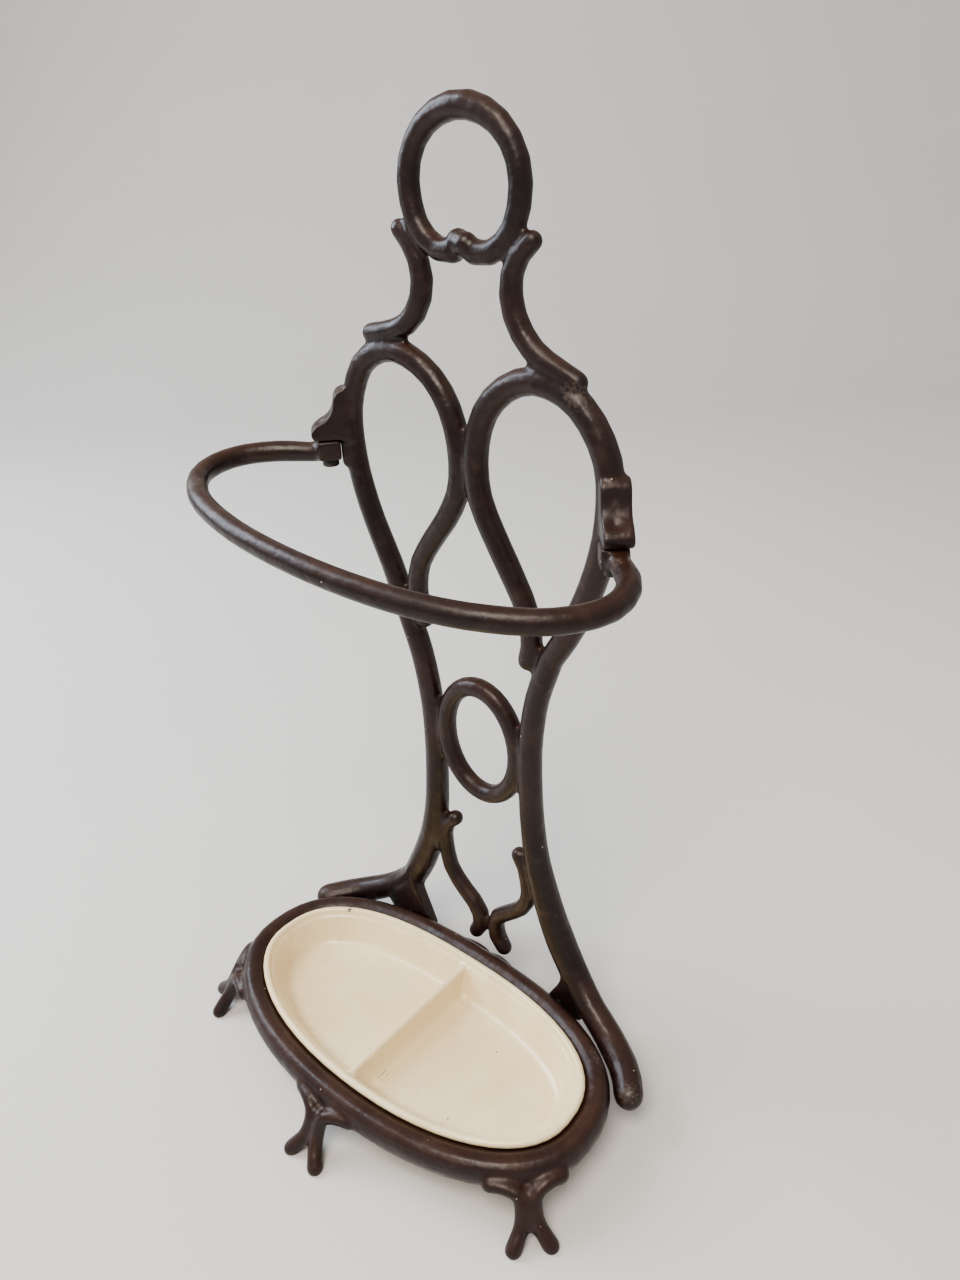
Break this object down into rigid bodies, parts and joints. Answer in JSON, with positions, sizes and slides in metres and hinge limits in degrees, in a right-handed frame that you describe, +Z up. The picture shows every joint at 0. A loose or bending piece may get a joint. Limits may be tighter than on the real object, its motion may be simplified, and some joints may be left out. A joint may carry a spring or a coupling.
{
  "type": "umbrella stand",
  "caption": "Oval-based cast-iron umbrella stand: bentwood-style looped back frame, bolted holding hoop, crossed-twig feet and a lift-out divided enamel drip tray.",
  "frame": {"origin": "on the floor, under the middle of the bounding box", "axes": "+Z up, +Y towards the wall behind the back frame, +X to the right seen from the front"},
  "size_m": [0.3424, 0.2191, 0.6374],
  "materials": {
    "iron": "dark brown semi-gloss paint over cast iron",
    "enamel": "cream glossy vitreous enamel",
    "bolt_steel": "dark painted steel, slightly worn"
  },
  "bodies": {
    "stand": {"top_ring": "iron", "neck_scroll_left": "iron", "neck_scroll_right": "iron", "loop_left": "iron", "loop_right": "iron", "leg_left": "iron", "leg_right": "iron", "lower_scroll_left": "iron", "lower_scroll_right": "iron", "leg_tab_left": "iron", "leg_tab_right": "iron", "tab_bolt_left": "bolt_steel", "tab_bolt_right": "bolt_steel", "hoop_lug_left": "iron", "hoop_lug_right": "iron", "hoop_bolt_left": "bolt_steel", "hoop_bolt_right": "bolt_steel", "centre_ring": "iron", "umbrella_hoop": "iron", "base_ring": "iron", "foot_left": "iron", "foot_front": "iron", "foot_right": "iron", "foot_rear": "iron"},
    "tray": {"drip_tray": "enamel"}
  },
  "joints": [
    {"name": "tray_lift", "type": "slide", "parent": "stand", "child": "tray", "axis": [0, 0, 1], "range_m": [0, 0.12]}
  ]
}
